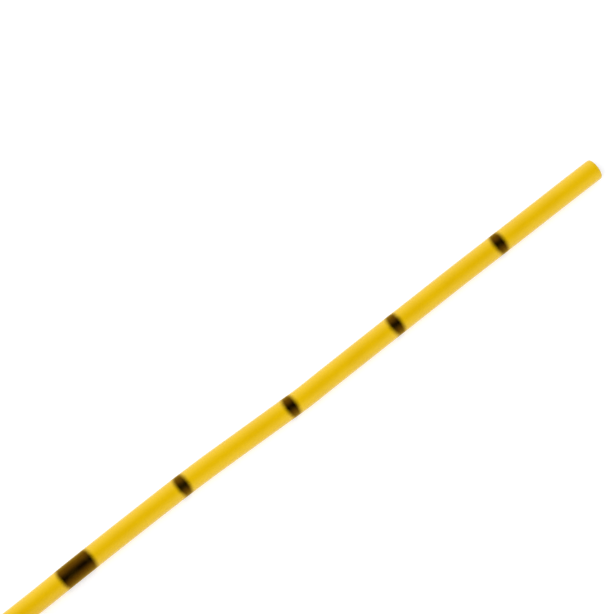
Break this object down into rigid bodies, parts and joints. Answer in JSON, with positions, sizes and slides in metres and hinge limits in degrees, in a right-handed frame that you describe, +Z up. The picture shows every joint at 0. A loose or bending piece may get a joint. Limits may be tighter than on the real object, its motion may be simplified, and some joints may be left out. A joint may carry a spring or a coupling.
{
  "type": "open-end ureteral catheter with screw-lock luer connector",
  "caption": "Thin yellow graduated catheter with a square-cut open tip, dark depth rings, a tied coil and a removable screw-lock female luer connector on its far end.",
  "frame": {"origin": "on the surface that the object lies on, below the middle of the connector", "axes": "+X along the connector's axis from its luer mouth towards the catheter's tip, +Z up"},
  "size_m": [0.1375, 0.0278, 0.012],
  "materials": {
    "catheter": "smooth extruded radiopaque polyurethane, yellow, with printed black depth rings",
    "tie": "thin white polyethylene band",
    "clear_body": "clear moulded polycarbonate",
    "silicone": "translucent silicone rubber",
    "pusher": "natural polypropylene",
    "nut": "grey moulded ABS with satin ribs"
  },
  "bodies": {
    "catheter": {"catheter_tip_run": "catheter", "catheter_coil": "catheter", "catheter_tail": "catheter", "coil_tie": "tie"},
    "connector": {"connector_body": "clear_body", "seal_sleeve": "silicone"},
    "pusher": {"pusher": "pusher"},
    "nut": {"clamp_nut": "nut"}
  },
  "joints": [
    {"name": "connector_pull_off", "type": "slide", "parent": "catheter", "child": "connector", "axis": [-1, 0, 0], "range_m": [0, 0.026]},
    {"name": "pusher_slide", "type": "slide", "parent": "connector", "child": "pusher", "axis": [-1, 0, 0], "range_m": [0, 0.0025], "deforming": ["seal_sleeve"]},
    {"name": "nut_turn", "type": "hinge", "parent": "pusher", "child": "nut", "pos_m": [0.011, 0, 0.006], "axis": [-1, 0, 0], "range_deg": [0, 450]}
  ],
  "couplings": [
    {"joint": "nut_turn", "follows": "pusher_slide", "rad_per_m": 3141.6}
  ]
}
